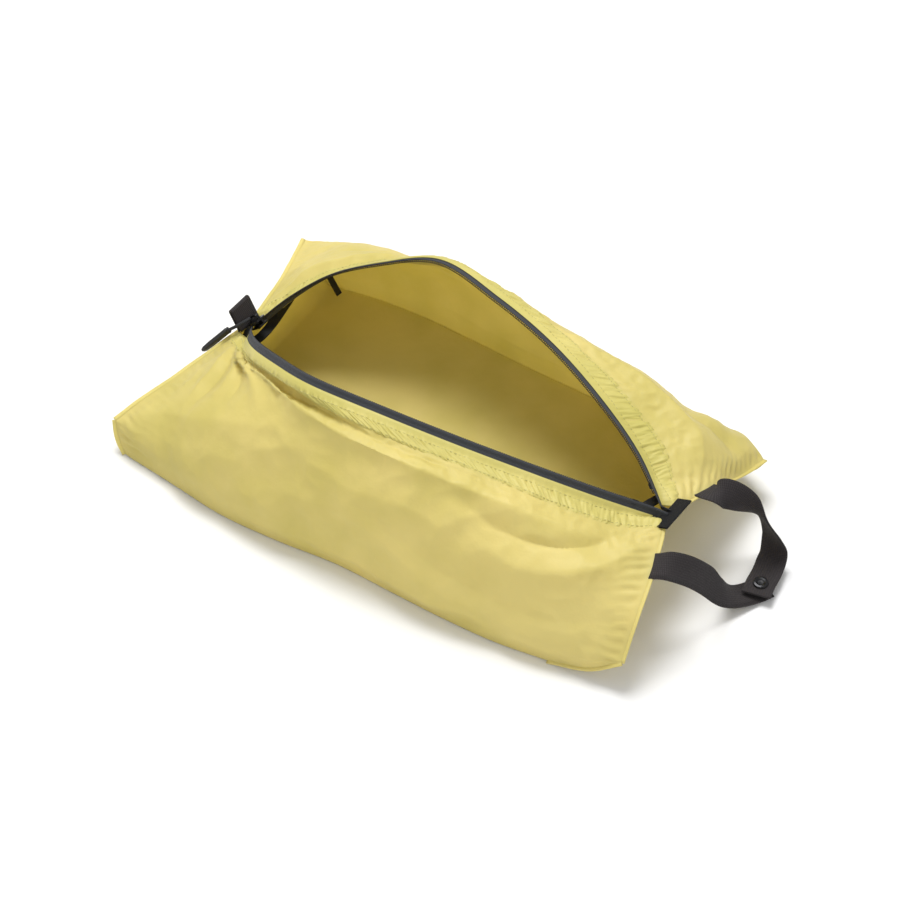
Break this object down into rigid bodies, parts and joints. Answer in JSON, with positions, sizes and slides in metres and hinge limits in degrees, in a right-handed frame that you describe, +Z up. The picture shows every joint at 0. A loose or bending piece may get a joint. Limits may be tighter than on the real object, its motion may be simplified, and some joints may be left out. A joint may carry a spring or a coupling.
{
  "type": "shoe bag",
  "caption": "Open zip-top shoe bag in thin coated nylon, with boxed corners, a grab tab, a blank label and a webbing handle closed by a press stud.",
  "frame": {"origin": "on the floor under the middle of the bag, half way along the zip", "axes": "+X along the zip from the grab tab to the handle, +Y from the front side to the back side, +Z up"},
  "size_m": [0.4439, 0.2419, 0.1114],
  "materials": {
    "nylon": "thin translucent coated ripstop nylon, pale lime yellow, soft sheen",
    "binding": "black woven binding tape",
    "zip_tape": "woven polyester zip tape, slate grey",
    "zip_coil": "black nylon coil",
    "zip_metal": "black lacquered zinc alloy",
    "pull_cord": "black braided cord",
    "pull_grip": "black moulded soft plastic",
    "webbing": "ribbed charcoal webbing",
    "label": "black woven tag, blank",
    "snap_metal": "black press stud, satin lacquer"
  },
  "bodies": {
    "root": {"front_panel": "nylon", "back_panel": "nylon", "base_panel": "nylon", "left_seam_binding": "binding", "right_seam_binding": "binding", "corner_binding_front_left": "binding", "corner_binding_back_left": "binding", "corner_binding_front_right": "binding", "corner_binding_back_right": "binding", "bottom_stop": "zip_metal"},
    "front_lip": {"zip_tape_front": "zip_tape", "coil_front": "zip_coil", "top_stop_front": "zip_metal"},
    "back_lip": {"zip_tape_back": "zip_tape", "coil_back": "zip_coil", "top_stop_back": "zip_metal"},
    "slider": {"slider_body": "zip_metal", "slider_bridge": "zip_metal"},
    "pull": {"pull_cord": "pull_cord", "pull_grip": "pull_grip"},
    "tab": {"tab_loop": "webbing"},
    "label": {"label": "label"},
    "handle_front": {"strap_front": "webbing", "snap_post": "snap_metal", "snap_stud": "snap_metal"},
    "handle_back": {"strap_back": "webbing", "snap_socket": "snap_metal", "snap_cap": "snap_metal"}
  },
  "joints": [
    {"name": "zip_travel", "type": "hinge", "parent": "root", "child": "slider", "pos_m": [0.00696, 0, -0.05595], "axis": [0, 1, 0], "range_deg": [0, 97]},
    {"name": "front_lip_close", "type": "hinge", "parent": "root", "child": "front_lip", "pos_m": [-0.16, 0, 0.05], "axis": [-0.9993, 0, -0.0366], "range_deg": [0, 50]},
    {"name": "back_lip_close", "type": "hinge", "parent": "root", "child": "back_lip", "pos_m": [-0.16, 0, 0.05], "axis": [0.9993, 0, 0.0366], "range_deg": [0, 54]},
    {"name": "pull_swing", "type": "hinge", "parent": "slider", "child": "pull", "pos_m": [-0.16, 0, 0.0576], "axis": [0, 1, 0], "range_deg": [0, 150]},
    {"name": "tab_flex", "type": "hinge", "parent": "root", "child": "tab", "pos_m": [-0.166, 0, 0.052], "axis": [0, 1, 0], "range_deg": [-40, 5], "stiffness_Nm_per_rad": 0.004},
    {"name": "label_flex", "type": "hinge", "parent": "root", "child": "label", "pos_m": [0.1765, 0, 0.0605], "axis": [0, 1, 0], "range_deg": [-30, 25], "stiffness_Nm_per_rad": 0.002},
    {"name": "handle_lift", "type": "hinge", "parent": "root", "child": "handle_front", "pos_m": [0.192, -0.042, 0.057], "axis": [0.0757, -0.997, 0.0126], "range_deg": [0, 105]},
    {"name": "snap_open", "type": "hinge", "parent": "handle_front", "child": "handle_back", "pos_m": [0.192, -0.042, 0.057], "axis": [0.0757, -0.997, 0.0126], "range_deg": [0, 40]}
  ],
  "couplings": [
    {"joint": "front_lip_close", "follows": "zip_travel", "ratio": 0.5154},
    {"joint": "back_lip_close", "follows": "zip_travel", "ratio": 0.5566}
  ]
}
